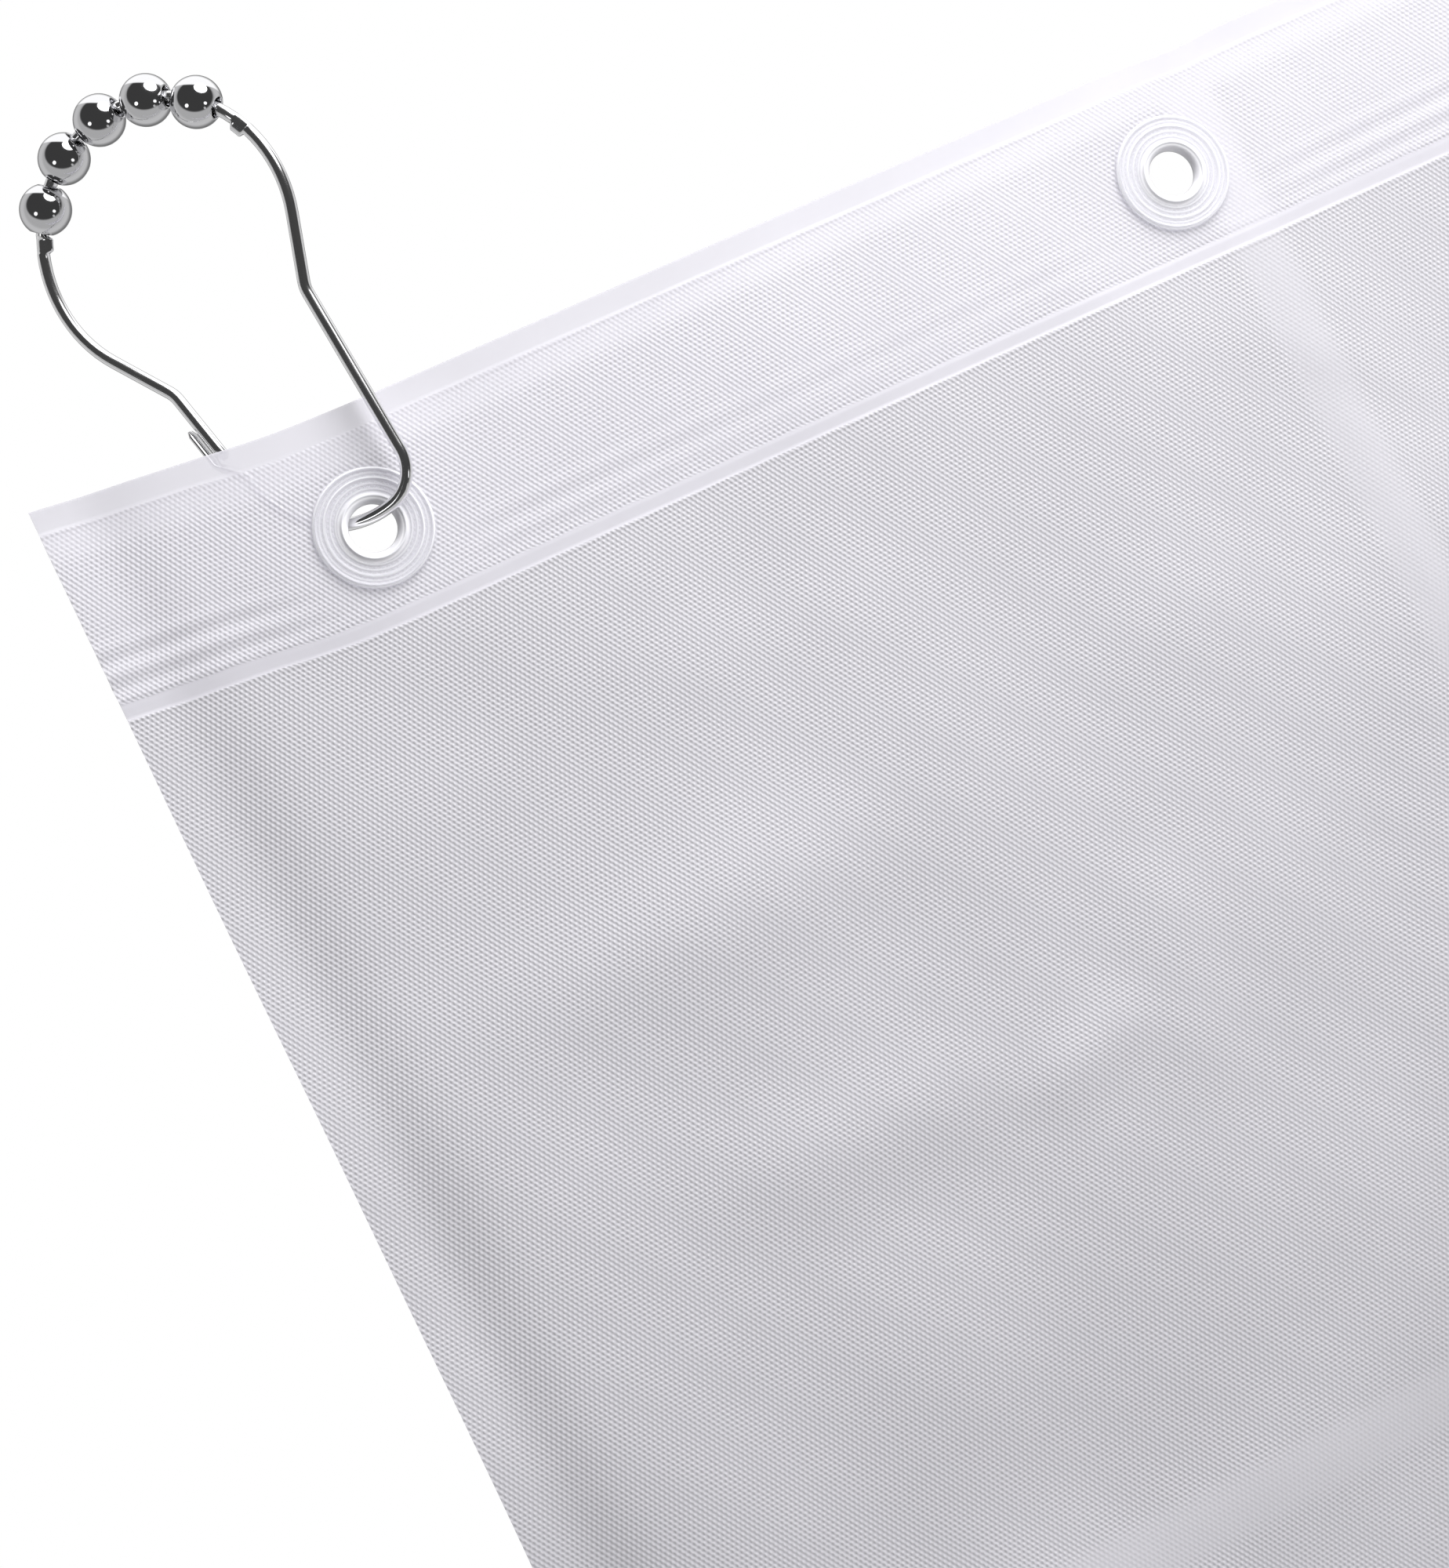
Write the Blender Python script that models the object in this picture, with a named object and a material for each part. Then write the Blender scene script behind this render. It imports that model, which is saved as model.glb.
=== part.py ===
# A clear frosted shower curtain liner with snap eyelets along a welded header, and one roller hook.
# Metres, +Z up. The origin is where the rod touches the underside of the hook's middle ball.
# The sheet faces -Y and runs to +X from the hook. It hangs flat, ready to be folded into pleats.

from math import asin, atan2, cos, degrees, pi, radians, sin

import bmesh
import bpy
from mathutils import Euler, Matrix, Vector

# Sheet
SHEET_WIDTH = 1.8288
SHEET_HEIGHT = 1.8288
HEADER_HEIGHT = 0.038
FILM = 0.0003
EYELETS = 12
EDGE_TO_EYELET = 0.051
TOP_TO_EYELET = 0.021
CLEARANCE = 0.0003
FOLD_GAP = 0.0003

# Eyelet, two snap halves on one barrel
BORE_RADIUS = 0.00415
BARREL_WALL = 0.00155
LIP_WIDTH = 0.00125
FLANGE_RADIUS = 0.0105
FLANGE_THICKNESS = 0.0005
FLANGE_CHAMFER = 0.0003
THROAT = 0.0008
EYELET_SEGMENTS = 16

# Hook, bent from one wire in its own plane
HOOK_YAW = radians(33)
HOOK_LEAN = radians(9.7)
WIRE = 0.0022
WIRE_SIDES = 10
ARCH_RADIUS = 0.0235
ARCH_HEIGHT = 0.060
ARCH_END = radians(27)
KNEE_WIDTH = 0.0304
KNEE_HEIGHT = 0.0381
FOOT_WIDTH = 0.0255
FOOT_INNER_RADIUS = 0.007
BALLS = 5
BALL_DIAMETER = 0.0090
BALL_PLAY = 0.00065
BALL_GAP = 0.0005
BALL_SEGMENTS = 18
ROW_ANGLE = radians(85)
ROW_PLAY = 0.0035
CRIMP_LENGTH = 0.0022
CRIMP_REACH = 0.0015
GATE_GAP = 0.0007
CATCH_HEIGHT = 0.0315
CATCH_OVERLAP = 0.0065
CATCH_STEP = 0.0060
CATCH_WIDTH = 0.0030
CATCH_THICKNESS = 0.0012
BEND_STEP = radians(12)

# Where the wire passes through the first eyelet
CROSSING = 0.0010
WIRE_HEADROOM = 0.00125

WIRE_RADIUS = WIRE / 2
BALL_BORE = WIRE + 2 * BALL_PLAY
WIRE_RISE = BORE_RADIUS - WIRE_RADIUS - WIRE_HEADROOM
PITCH = (SHEET_WIDTH - 2 * EDGE_TO_EYELET) / (EYELETS - 1)
BARREL_RADIUS = BORE_RADIUS + BARREL_WALL
LIP_RADIUS = BORE_RADIUS + LIP_WIDTH
HOLE_RADIUS = BARREL_RADIUS + CLEARANCE
STACK_FACE = CLEARANCE / 2 + FILM
FLANGE_INSIDE = STACK_FACE + CLEARANCE
FLANGE_OUTSIDE = FLANGE_INSIDE + FLANGE_THICKNESS
FOOT_OUTER_RADIUS = FOOT_WIDTH - FOOT_INNER_RADIUS
GATE_TIP = CATCH_HEIGHT - CATCH_OVERLAP

COLOURS = {
    "film": ((0.86, 0.86, 0.89, 1), 0.35, 0.0),
    "header": ((0.88, 0.88, 0.91, 1), 0.35, 0.0),
    "eyelet": ((0.92, 0.92, 0.94, 1), 0.12, 0.0),
    "chrome": ((0.72, 0.72, 0.74, 1), 0.07, 1.0),
}


def clear_scene():
    for item in list(bpy.data.objects):
        bpy.data.objects.remove(item, do_unlink=True)


def make_material(name, finish):
    colour, roughness, metallic = COLOURS[finish]
    material = bpy.data.materials.new(name)
    material.use_nodes = True
    shader = material.node_tree.nodes["Principled BSDF"]
    shader.inputs["Base Color"].default_value = colour
    shader.inputs["Roughness"].default_value = roughness
    shader.inputs["Metallic"].default_value = metallic
    return material


def add_object(name, mesh, finish, parent, location=(0, 0, 0), rotation=(0, 0, 0)):
    item = bpy.data.objects.new(name, mesh)
    item.parent = parent
    item.location = location
    item.rotation_euler = rotation
    bpy.context.scene.collection.objects.link(item)
    if finish:
        if not mesh.materials:
            mesh.materials.append(None)
        item.material_slots[0].link = "OBJECT"
        item.material_slots[0].material = make_material(name, finish)
    return item


def add_empty(name, parent=None, location=(0, 0, 0), rotation=(0, 0, 0)):
    return add_object(name, None, None, parent, location, rotation)


def finished_mesh(name, bm, smooth=True):
    bmesh.ops.recalc_face_normals(bm, faces=bm.faces)
    mesh = bpy.data.meshes.new(name)
    bm.to_mesh(mesh)
    bm.free()
    if smooth:
        mesh.shade_smooth()
        mesh.set_sharp_from_angle(angle=radians(35))
    return mesh


def box_mesh(name, low, high):
    bm = bmesh.new()
    bmesh.ops.create_cube(bm, size=1)
    size = Vector(high) - Vector(low)
    middle = (Vector(high) + Vector(low)) / 2
    bmesh.ops.scale(bm, vec=size, verts=bm.verts)
    bmesh.ops.translate(bm, vec=middle, verts=bm.verts)
    return finished_mesh(name, bm, smooth=False)


def turned_mesh(name, profile, segments, axis):
    """A closed ring: the profile's (radius, along) points turned about the axis, which is Y or Z."""
    bm = bmesh.new()
    along = Vector(axis)
    points = [bm.verts.new(Vector((radius, 0, 0)) + along * height) for radius, height in profile]
    for a, b in zip(points, points[1:] + points[:1]):
        bm.edges.new((a, b))
    bmesh.ops.spin(
        bm, geom=bm.verts[:] + bm.edges[:], cent=(0, 0, 0), axis=along,
        angle=2 * pi, steps=segments, use_merge=True,
    )
    return finished_mesh(name, bm)


def pin_mesh(name, radius, length, segments):
    """A solid cylinder along Y."""
    bm = bmesh.new()
    lie_down = Matrix.Rotation(pi / 2, 4, "X")
    bmesh.ops.create_cone(
        bm, cap_ends=True, segments=segments, radius1=radius, radius2=radius, depth=length, matrix=lie_down,
    )
    return finished_mesh(name, bm)


def arc(centre, radius, start, end):
    """Points of an arc in the hook's plane, both ends included."""
    steps = max(2, round(abs(end - start) / BEND_STEP))
    turns = [start + (end - start) * i / steps for i in range(steps + 1)]
    return [(centre[0] + radius * cos(a), centre[1] + radius * sin(a)) for a in turns]


def wire_mesh(name, stations):
    """A tube through (across, up, half width in plane, half width out of plane, shift in plane) stations."""
    path = [Vector((across, 0, up)) for across, up, *_ in stations]
    bm = bmesh.new()
    rings = []
    for i, (point, station) in enumerate(zip(path, stations)):
        wide, deep, shift = station[2:]
        tangent = (path[min(i + 1, len(path) - 1)] - path[max(i - 1, 0)]).normalized()
        side = Vector((tangent.z, 0, -tangent.x))
        turns = [2 * pi * k / WIRE_SIDES for k in range(WIRE_SIDES)]
        rings.append([
            bm.verts.new(point + side * (shift + wide * cos(a)) + Vector((0, deep * sin(a), 0)))
            for a in turns
        ])
    for lower, upper in zip(rings, rings[1:]):
        for k in range(WIRE_SIDES):
            n = (k + 1) % WIRE_SIDES
            bm.faces.new((lower[k], lower[n], upper[n], upper[k]))
    bm.faces.new(rings[0])
    bm.faces.new(rings[-1])
    return finished_mesh(name, bm)


def round_wire(points):
    return [(across, up, WIRE_RADIUS, WIRE_RADIUS, 0) for across, up in points]


def on_arch(angle, radius=ARCH_RADIUS):
    return Vector((radius * cos(angle), 0, ARCH_HEIGHT + radius * sin(angle)))


def leg_across(height):
    """Half the hook's width at a height between the foot and the knee."""
    share = (KNEE_HEIGHT - height) / (KNEE_HEIGHT - FOOT_INNER_RADIUS)
    return (KNEE_WIDTH + (FOOT_WIDTH - KNEE_WIDTH) * share) / 2


def leg(side, stop):
    """The leg's corner at the knee, and its point at the height of stop."""
    return [(side * leg_across(height), height) for height in (KNEE_HEIGHT, stop)]


def crimp(angle):
    """A pinched stop on the arch that stands inwards, as wire stations running clockwise."""
    half = CRIMP_LENGTH / 2 / ARCH_RADIUS
    stations = []
    for turn, reach in ((1.3, 0), (0.9, 1), (-0.9, 1), (-1.3, 0)):
        point = on_arch(angle + turn * half)
        wide = WIRE_RADIUS + reach * CRIMP_REACH / 2
        stations.append((point.x, point.z, wide, WIRE_RADIUS * (1 - 0.3 * reach), reach * CRIMP_REACH / 2))
    return stations


def hook_values():
    """Angles along the arch: each ball, the two crimps, and the pivot of the gate."""
    step = (BALL_DIAMETER + BALL_GAP) / ARCH_RADIUS
    balls = [ROW_ANGLE + (i - (BALLS - 1) / 2) * -step for i in range(BALLS)]
    reach = (BALL_DIAMETER / 2 + CRIMP_LENGTH / 2) / ARCH_RADIUS
    left = balls[0] + reach + BALL_GAP / ARCH_RADIUS
    right = balls[-1] - reach - ROW_PLAY / ARCH_RADIUS
    pivot = left + 2.2 * CRIMP_LENGTH / ARCH_RADIUS
    return balls, left, right, pivot


def catch_stations():
    """The wire's end, flattened to a tab that lies along the outside of the gate's tip."""
    beside = WIRE_RADIUS + CLEARANCE + CATCH_THICKNESS / 2
    heights = (GATE_TIP - WIRE_RADIUS, CATCH_HEIGHT)
    half, deep = CATCH_THICKNESS / 2, CATCH_WIDTH / 2
    return [(-leg_across(height) - beside, height, half, deep, 0) for height in heights]


def build_hook(hook):
    """The sprung wire frame, its gate leg and the row of rolling balls, in the hook's own plane."""
    balls, left, right, pivot = hook_values()
    seat = on_arch(ROW_ANGLE, ARCH_RADIUS - BALL_DIAMETER / 2)
    down = Matrix.Translation(-seat)

    foot_right = arc((FOOT_WIDTH / 2 - FOOT_INNER_RADIUS, FOOT_INNER_RADIUS), FOOT_INNER_RADIUS, 0, -pi / 2)
    rise = asin((FOOT_OUTER_RADIUS - GATE_TIP + CATCH_STEP) / FOOT_OUTER_RADIUS)
    foot_left = arc(
        (FOOT_WIDTH / 2 - FOOT_INNER_RADIUS, FOOT_OUTER_RADIUS), FOOT_OUTER_RADIUS, -pi / 2, rise - pi
    )
    arch = (0, ARCH_HEIGHT)
    fixed_end = pivot - GATE_GAP / ARCH_RADIUS
    half = 1.3 * CRIMP_LENGTH / 2 / ARCH_RADIUS
    stations = round_wire(arc(arch, ARCH_RADIUS, fixed_end, left + half)[:-1])
    stations += crimp(left)
    stations += round_wire(arc(arch, ARCH_RADIUS, left - half, right + half)[1:-1])
    stations += crimp(right)
    stations += round_wire(arc(arch, ARCH_RADIUS, right - half, -ARCH_END)[1:])
    stations += round_wire(leg(1, FOOT_INNER_RADIUS)[:-1] + foot_right + foot_left[1:])
    stations += catch_stations()
    frame_mesh = wire_mesh("hook_wire", stations)
    frame_mesh.transform(down)
    add_object("hook_wire", frame_mesh, "chrome", hook)

    hinge = on_arch(pivot)
    gate_points = arc(arch, ARCH_RADIUS, pivot, pi + ARCH_END) + leg(-1, GATE_TIP)
    gate_mesh = wire_mesh("hook_gate", round_wire(gate_points))
    gate_mesh.transform(Matrix.Translation(-hinge))
    add_object("hook_gate", gate_mesh, "chrome", hook, hinge - seat)

    half_height = (BALL_DIAMETER ** 2 - BALL_BORE ** 2) ** 0.5 / 2
    tilt = atan2(half_height, BALL_BORE / 2)
    rounds = [tilt - 2 * tilt * i / (BALL_SEGMENTS // 2) for i in range(BALL_SEGMENTS // 2 + 1)]
    profile = [(BALL_DIAMETER / 2 * cos(a), BALL_DIAMETER / 2 * sin(a)) for a in rounds]
    ball_mesh = turned_mesh("roller_ball", profile, BALL_SEGMENTS, (0, 0, 1))
    # Each ball sits inwards by half the arch's bow across it, which centres the wire in its bore.
    seated = ARCH_RADIUS - (BALL_DIAMETER / 2) ** 2 / (4 * ARCH_RADIUS)
    for i, angle in enumerate(balls):
        place = on_arch(angle, seated) - seat
        add_object(f"roller_ball_{i + 1}", ball_mesh, "chrome", hook, place, (0, -angle, 0))


def first_eyelet(hook_matrix):
    """The first eyelet's centre: the wire crosses the sheet above it, high in the bore."""
    seat = on_arch(ROW_ANGLE, ARCH_RADIUS - BALL_DIAMETER / 2)
    middle = FOOT_WIDTH / 2 - FOOT_INNER_RADIUS
    up = FOOT_OUTER_RADIUS - (FOOT_OUTER_RADIUS ** 2 - (middle - CROSSING) ** 2) ** 0.5
    crossing = hook_matrix @ (Vector((CROSSING, 0, up)) - seat)
    return crossing - Vector((0, 0, WIRE_RISE))


def layer(name, low, high, cutter, parent, location, finish):
    """One flat layer of a panel, with the eyelet's hole cut through it."""
    item = add_object(name, box_mesh(name, low, high), finish, parent, location)
    cut = item.modifiers.new("Eyelet hole", "BOOLEAN")
    cut.operation = "DIFFERENCE"
    cut.object = cutter
    return item


def build_panels(hook_matrix):
    """A film panel, a header panel and both eyelet halves for each eyelet, on a chain of fold lines."""
    centre = first_eyelet(hook_matrix)
    lip = THROAT / 2
    front_profile = [
        (BORE_RADIUS, -lip), (LIP_RADIUS, -FLANGE_OUTSIDE),
        (FLANGE_RADIUS - FLANGE_CHAMFER, -FLANGE_OUTSIDE), (FLANGE_RADIUS, -FLANGE_OUTSIDE + FLANGE_CHAMFER),
        (FLANGE_RADIUS, -FLANGE_INSIDE), (BARREL_RADIUS, -FLANGE_INSIDE),
        (BARREL_RADIUS, FLANGE_OUTSIDE - FLANGE_CHAMFER), (LIP_RADIUS, FLANGE_OUTSIDE - FLANGE_CHAMFER),
        (BORE_RADIUS, lip),
    ]
    back_profile = [
        (HOLE_RADIUS, FLANGE_INSIDE), (FLANGE_RADIUS, FLANGE_INSIDE),
        (FLANGE_RADIUS, FLANGE_OUTSIDE - FLANGE_CHAMFER),
        (FLANGE_RADIUS - FLANGE_CHAMFER, FLANGE_OUTSIDE), (HOLE_RADIUS, FLANGE_OUTSIDE),
    ]
    front_mesh = turned_mesh("eyelet_front", front_profile, EYELET_SEGMENTS, (0, 1, 0))
    back_mesh = turned_mesh("eyelet_back", back_profile, EYELET_SEGMENTS, (0, 1, 0))
    hole_mesh = pin_mesh("eyelet_hole", HOLE_RADIUS, 2 * FLANGE_OUTSIDE, EYELET_SEGMENTS)

    parent, parent_place = None, Vector()
    for i in range(EYELETS):
        number = f"{i + 1:02d}"
        eyelet = centre + Vector((i * PITCH, 0, 0))
        # The first panel swivels on the hook. Each later fold line lies on the face that closes.
        side = -STACK_FACE if i % 2 else STACK_FACE
        axis = eyelet if i == 0 else eyelet + Vector((-PITCH / 2, side, 0))
        parent = add_empty(f"fold_{number}", parent, axis - parent_place)
        parent_place = axis
        place = eyelet - axis

        left = -EDGE_TO_EYELET if i == 0 else -PITCH / 2 + FOLD_GAP / 2
        right = EDGE_TO_EYELET if i == EYELETS - 1 else PITCH / 2 - FOLD_GAP / 2
        cutter = add_object(f"hole_cutter_{number}", hole_mesh, None, parent, place)
        cutter.hide_render = True
        cutter.display_type = "WIRE"
        layer(
            f"film_panel_{number}", (left, -STACK_FACE, TOP_TO_EYELET - SHEET_HEIGHT),
            (right, -STACK_FACE + FILM, TOP_TO_EYELET), cutter, parent, place, "film",
        )
        layer(
            f"header_panel_{number}", (left, STACK_FACE - FILM, TOP_TO_EYELET - HEADER_HEIGHT),
            (right, STACK_FACE, TOP_TO_EYELET), cutter, parent, place, "header",
        )
        add_object(f"eyelet_front_{number}", front_mesh, "eyelet", parent, place)
        add_object(f"eyelet_back_{number}", back_mesh, "eyelet", parent, place)


clear_scene()
hook_turn = Euler((0, -HOOK_LEAN, -HOOK_YAW))
hook_parent = add_empty("hook", None, (0, 0, 0), hook_turn)
build_hook(hook_parent)
build_panels(hook_turn.to_matrix().to_4x4())
print(f"{EYELETS} eyelets at {PITCH * 1000:.1f} mm, hook turned {degrees(HOOK_YAW):.0f} degrees")
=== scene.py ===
from math import asin, atan2, cos, pi, radians, sin, tau

import bmesh
import bpy
import numpy as np
from mathutils import Euler, Matrix, Vector


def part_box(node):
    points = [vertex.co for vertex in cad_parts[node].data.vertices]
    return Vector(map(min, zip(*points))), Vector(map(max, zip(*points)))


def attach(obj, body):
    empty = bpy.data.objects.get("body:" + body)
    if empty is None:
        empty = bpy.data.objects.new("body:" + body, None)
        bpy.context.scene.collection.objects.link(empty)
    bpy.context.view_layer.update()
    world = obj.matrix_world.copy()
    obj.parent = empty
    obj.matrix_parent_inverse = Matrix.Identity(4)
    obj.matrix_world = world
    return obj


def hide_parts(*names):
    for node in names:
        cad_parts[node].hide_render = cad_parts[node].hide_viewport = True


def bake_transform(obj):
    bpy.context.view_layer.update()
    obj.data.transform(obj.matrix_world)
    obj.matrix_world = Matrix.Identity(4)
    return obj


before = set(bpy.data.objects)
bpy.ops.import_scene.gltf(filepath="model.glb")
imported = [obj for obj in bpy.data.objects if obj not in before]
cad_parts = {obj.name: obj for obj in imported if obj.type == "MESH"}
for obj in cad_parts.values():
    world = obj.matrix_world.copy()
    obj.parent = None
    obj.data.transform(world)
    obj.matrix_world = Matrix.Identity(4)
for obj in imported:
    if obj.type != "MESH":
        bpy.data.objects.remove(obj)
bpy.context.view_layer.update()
scene = bpy.context.scene
mm = 0.001

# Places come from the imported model
panelCount = 12
panelNames = [f"{i + 1:02d}" for i in range(panelCount)]


def middleOf(node):
    low, high = (Vector(corner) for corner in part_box(node))
    return (low + high) / 2


eyeletPlaces = [middleOf(f"eyelet_front_{name}") for name in panelNames]
sheetLeft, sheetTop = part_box("film_panel_01")[0][0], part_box("film_panel_01")[1][2]
sheetRight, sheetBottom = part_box("film_panel_12")[1][0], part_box("film_panel_12")[0][2]
filmFront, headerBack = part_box("film_panel_01")[0][1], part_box("header_panel_01")[1][1]
layerPlane = (filmFront + headerBack) / 2
sheetWidth, sheetHeight = sheetRight - sheetLeft, sheetTop - sheetBottom
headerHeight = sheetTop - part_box("header_panel_01")[0][2]
eyeletAcross = [place.x - sheetLeft for place in eyeletPlaces]
eyeletDown = sheetTop - eyeletPlaces[0].z
eyeletPitch = eyeletAcross[1] - eyeletAcross[0]
print(f"sheet {sheetWidth:.4f} x {sheetHeight:.4f} m, header {headerHeight:.3f} m, pitch {eyeletPitch:.4f} m")


class Signal:
    # A socket that adds Math nodes when it stands in an expression.
    def __init__(self, tree, socket):
        self.tree, self.socket = tree, socket

    def math(self, operation, *values):
        return addNode(self.tree, "ShaderNodeMath", {"operation": operation}, dict(enumerate(values)))

    def __add__(self, other):
        return self.math("ADD", self, other)

    def __radd__(self, other):
        return self.math("ADD", other, self)

    def __sub__(self, other):
        return self.math("SUBTRACT", self, other)

    def __rsub__(self, other):
        return self.math("SUBTRACT", other, self)

    def __mul__(self, other):
        return self.math("MULTIPLY", self, other)

    def __rmul__(self, other):
        return self.math("MULTIPLY", other, self)

    def __truediv__(self, other):
        return self.math("DIVIDE", self, other)

    def __pow__(self, other):
        return self.math("POWER", self, other)


def addNode(tree, kind, settings=None, inputs=None, output=0):
    node = tree.nodes.new(kind)
    for name, value in (settings or {}).items():
        if name == "stops":
            ramp = node.color_ramp
            while len(ramp.elements) < len(value):
                ramp.elements.new(0.5)
            for element, (place, colour) in zip(ramp.elements, value):
                element.position, element.color = place, colour
        else:
            setattr(node, name, value)
    for name, value in (inputs or {}).items():
        socket = node.inputs[name]
        if isinstance(value, Signal):
            tree.links.new(value.socket, socket)
        else:
            socket.default_value = value
    return Signal(tree, node.outputs[output])


def cosine(signal):
    return signal.math("COSINE", signal)


def rise(signal, low, high):
    # 0 below low, 1 above high, smooth in between
    return addNode(signal.tree, "ShaderNodeMapRange", {"interpolation_type": "SMOOTHSTEP"},
                   {"Value": signal, "From Min": low, "From Max": high})


def newMaterial(name):
    material = bpy.data.materials.new(name)
    material.use_nodes = True
    material.node_tree.nodes.clear()
    return material, material.node_tree


def finishMaterial(tree, shader):
    output = tree.nodes.new("ShaderNodeOutputMaterial")
    tree.links.new(shader.socket, output.inputs["Surface"])


def mixShaders(factor, first, second):
    return addNode(first.tree, "ShaderNodeMixShader", None, {0: factor, 1: first, 2: second})


sheetCut = {
    "headerStep": 1.5 * mm,
    "wrinkleStep": 1.0 * mm,
    "closeStep": 3 * mm,       # grid near the hook
    "farStep": 8 * mm,         # grid elsewhere
    "closeWidth": 350 * mm,
    "closeHeight": 330 * mm,
    "eyeletStep": 1.5 * mm,
    "eyeletReach": 13 * mm,
    "holeRadius": 6.0 * mm,
    "borderShift": 20 * mm,    # strip borders lie this far left of an eyelet
    "foldHalf": 22 * mm,
    "sealWidth": 4.4 * mm,
    "weldWidth": 3.0 * mm,
}

drapeShape = {
    "seed": 11,
    "swellHeight": 2.6 * mm,      # slow billows
    "swellLengths": (0.16, 0.55),
    "rippleHeight": 0.95 * mm,     # small soft dents
    "rippleLengths": (0.045, 0.12),
    "limit": 14 * mm,
    "cornerLift": 4.6 * mm,
    "cornerReach": 62 * mm,
    "creaseFirst": (0.217, 0.233),   # first packing crease, across and down
    "creasePitch": 0.2286,
    "creaseHeight": 0.55 * mm,
    "creaseWidth": 7.0 * mm,
    "panelTilt": 2.6 * mm,         # the squares between the creases lean to and fro
    "edgeKink": 1.0 * mm,          # the top edge dips at the first crease
    "edgeRoll": 1.5 * mm,
    "eyeletFlat": 11 * mm,         # the sheet lies flat this far out from an eyelet, then frees over the next
    "eyeletFree": 20 * mm,
    "slackTop": 0.22,              # share of the folds left at the top edge
    "wrinkleHeight": 0.42 * mm,
    "wrinklePitch": 4.6 * mm,
    "layerGap": 0.3 * mm,
    "puff": 0.5 * mm,
}

# Soft folds: start and end (across, down) from the top left corner, width and height, in millimetres
softFolds = [
    ((14, 108), (122, 101), 12, -2.3),
    ((45, 147), (118, 150), 10, -1.6),
    ((108, 158), (140, 148), 5, -1.1),
    ((150, 120), (138, 175), 9, -1.1),
    ((60, 262), (175, 208), 12, -1.3),
    ((228, 80), (172, 215), 10, -1.8),
    ((205, 62), (165, 150), 10, 0.9),
    ((70, 62), (140, 68), 9, -0.9),
    ((18, 62), (70, 52), 8, 0.9),
    ((200, 48), (224, 66), 4, -0.6),
    ((212, 60), (232, 84), 4, 0.5),
]


def smooth(t):
    t = np.clip(t, 0, 1)
    return t * t * (3 - 2 * t)


def bump(distance, width):
    return np.exp(-((distance / width) ** 2))


def waveTable(count, lengths, seed):
    chance = np.random.RandomState(seed)
    spans = np.exp(chance.uniform(np.log(lengths[0]), np.log(lengths[1]), count))
    turns, phases = chance.uniform(0, pi, count), chance.uniform(0, tau, count)
    heights = (spans / lengths[1]) ** 0.8
    return list(zip(heights / np.sqrt((heights ** 2).sum()), spans, turns, phases))


def waves(across, down, table):
    total = np.zeros_like(across)
    for height, span, turn, phase in table:
        total += height * np.sin((across * cos(turn) + down * sin(turn)) * tau / span + phase)
    return total


swells = waveTable(9, drapeShape["swellLengths"], drapeShape["seed"])
ripples = waveTable(14, drapeShape["rippleLengths"], drapeShape["seed"] + 1)
patches = waveTable(5, (0.09, 0.3), drapeShape["seed"] + 2)


def creaseLines(place, first, pitch):
    # A ridge at each crease, turned to and fro, and the lean of the square beside it
    index = np.round((place - first) / pitch)
    distance = place - first - index * pitch
    way = np.where(index % 2 == 0, 1.0, -1.0)
    sharp = np.exp(-np.sqrt(distance ** 2 + (0.8 * mm) ** 2) / drapeShape["creaseWidth"])
    tent = 1 - 2 * np.sqrt(distance ** 2 + (5 * mm) ** 2) / pitch
    return way * sharp, way * 0.5 * tent


def foldLine(across, down, start, end, width):
    start, end = np.array(start) * mm, np.array(end) * mm
    run = end - start
    length = np.hypot(*run)
    run /= length
    along = (across - start[0]) * run[0] + (down - start[1]) * run[1]
    beside = -(across - start[0]) * run[1] + (down - start[1]) * run[0]
    ends = smooth(along / (0.35 * length)) * smooth((length - along) / (0.35 * length))
    return bump(beside, width * mm) * ends


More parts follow.
